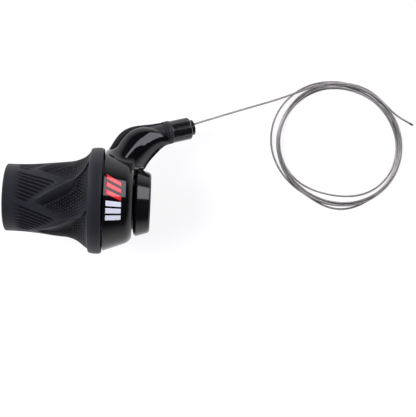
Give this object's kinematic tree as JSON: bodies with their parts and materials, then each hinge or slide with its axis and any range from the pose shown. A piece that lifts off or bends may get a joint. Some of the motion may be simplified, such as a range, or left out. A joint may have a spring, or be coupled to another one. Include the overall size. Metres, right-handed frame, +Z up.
{
  "type": "twist grip shifter",
  "caption": "Bicycle twist grip shifter: ribbed rubber grip on a ball sleeve, two-shell housing with cable arm, barrel adjuster, split bar clamp and a coiled steel cable.",
  "frame": {"origin": "on the handlebar's axis, in the plane of the clamp's bolt", "axes": "+X along the handlebar towards the stem, +Y towards the cable arm, +Z up from the surface it lies on"},
  "size_m": [0.222, 0.1026, 0.0552],
  "materials": {
    "grip_rubber": "moulded matte",
    "tube_nylon": "moulded",
    "cover_gloss": "polished black",
    "base_nylon": "fine spark texture",
    "collar_black": "black anodised, bright",
    "knob_black": "moulded satin",
    "stem_black": "black anodised",
    "sleeve_alloy": "turned",
    "steel": "hardened",
    "bolt_black": "black oxide",
    "brass": "turned",
    "guide_liner": "extruded",
    "cable_steel": "stranded, slick",
    "cable_end": "die cast",
    "seal_rubber": "moulded"
  },
  "bodies": {
    "housing": {"bar_sleeve": "sleeve_alloy", "sleeve_screws": "steel", "thrust_washer": "guide_liner", "snap_ring": "steel", "index_spring": "steel", "housing_base": "base_nylon", "housing_cover": "cover_gloss", "cover_screws": "bolt_black", "cable_guide": "guide_liner", "adjuster_bush": "brass", "clamp_collar": "collar_black", "clamp_bolt": "bolt_black", "shift_cable": "cable_steel", "cable_run": "cable_steel", "cable_coil": "cable_steel", "cable_tail": "cable_steel"},
    "grip": {"twist_grip": "grip_rubber", "grip_tube": "tube_nylon", "cable_spool": "tube_nylon", "index_ring": "steel", "cable_wrap": "cable_steel", "cable_head": "cable_end"},
    "bearing": {"bearing_balls": "steel", "ball_cages": "tube_nylon"},
    "adjuster_carriage": {"adjuster_oring": "seal_rubber"},
    "adjuster": {"adjuster_knob": "knob_black", "adjuster_stem": "stem_black"}
  },
  "joints": [
    {"name": "twist", "type": "hinge", "parent": "housing", "child": "grip", "pos_m": [0, 0, 0], "axis": [-1, 0, 0], "range_deg": [0, 90], "deforming": ["index_spring"]},
    {"name": "bearing_roll", "type": "hinge", "parent": "housing", "child": "bearing", "pos_m": [0, 0, 0], "axis": [-1, 0, 0], "range_deg": [0, 50]},
    {"name": "adjuster_travel", "type": "slide", "parent": "housing", "child": "adjuster_carriage", "axis": [0.9389, 0.2672, -0.2168], "range_m": [0, 0.0032]},
    {"name": "adjuster_turn", "type": "hinge", "parent": "adjuster_carriage", "child": "adjuster", "pos_m": [0.0102, 0.0375, -0.00961], "axis": [0.9389, 0.2672, -0.2168], "range_deg": [0, 1441]}
  ],
  "couplings": [
    {"joint": "bearing_roll", "follows": "twist", "ratio": 0.53207},
    {"joint": "adjuster_turn", "follows": "adjuster_travel", "rad_per_m": 7854}
  ]
}
